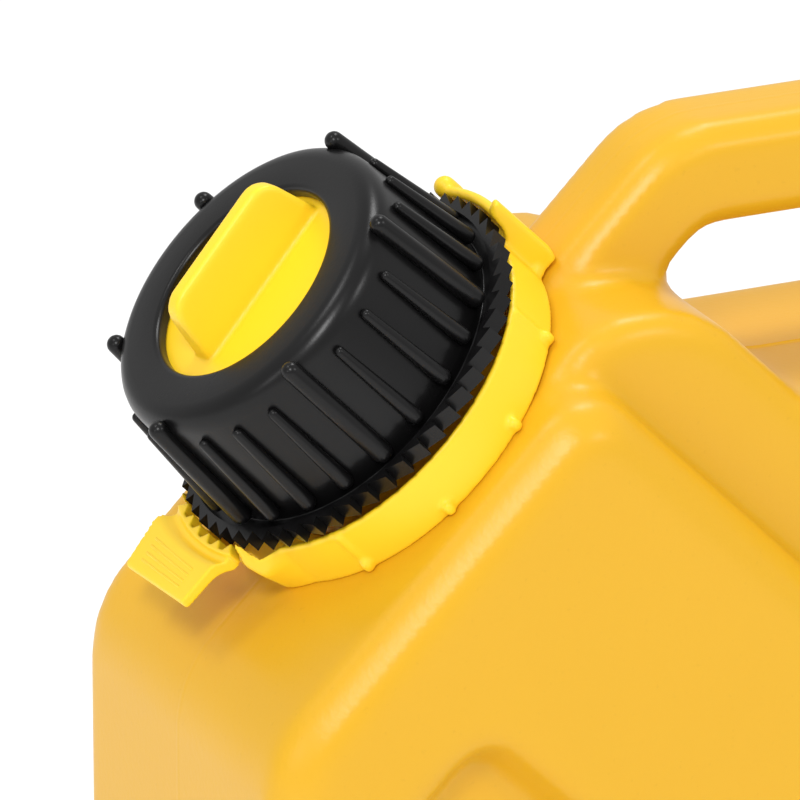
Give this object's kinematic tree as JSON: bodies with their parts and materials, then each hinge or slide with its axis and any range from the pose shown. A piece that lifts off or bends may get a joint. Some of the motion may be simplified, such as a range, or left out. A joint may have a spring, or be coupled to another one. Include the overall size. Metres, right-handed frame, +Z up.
{
  "type": "gas can",
  "caption": "Flat moulded fuel can with an integral handle, a screw collar on a tilted neck, a finned stopper and a ratchet lock ring with a release tab.",
  "frame": {"origin": "middle of the flat base, on the surface that the can stands on", "axes": "+Z up, +X along the can's width away from the neck, -Y out of the front panel"},
  "size_m": [0.3529, 0.111, 0.3392],
  "materials": {
    "can": "satin blow-moulded polyethylene, orange yellow",
    "lemon": "satin moulded plastic, lemon yellow",
    "collar": "satin moulded plastic, black",
    "rubber": "matt fuel-proof rubber, black"
  },
  "bodies": {
    "can": {"can_body": "can", "neck_gasket": "rubber", "lock_ring": "lemon"},
    "closure": {"stopper": "lemon", "stopper_seal": "rubber", "pour_spout": "lemon"},
    "collar": {"collar_nut": "collar"},
    "tab": {"release_tab": "lemon"}
  },
  "joints": [
    {"name": "closure_rise", "type": "slide", "parent": "can", "child": "closure", "axis": [-0.7071, 0, 0.7071], "range_m": [0, 0.009]},
    {"name": "collar_turn", "type": "hinge", "parent": "closure", "child": "collar", "pos_m": [-0.11839, 0, 0.27561], "axis": [-0.7071, 0, 0.7071], "range_deg": [0, 546]},
    {"name": "release_tab_press", "type": "hinge", "parent": "can", "child": "tab", "pos_m": [-0.15585, 0.00517, 0.24352], "axis": [-0.0739, -0.9945, -0.0739], "range_deg": [0, 10], "stiffness_Nm_per_rad": 0.4}
  ],
  "couplings": [
    {"joint": "collar_turn", "follows": "closure_rise", "rad_per_m": 1047.2}
  ]
}
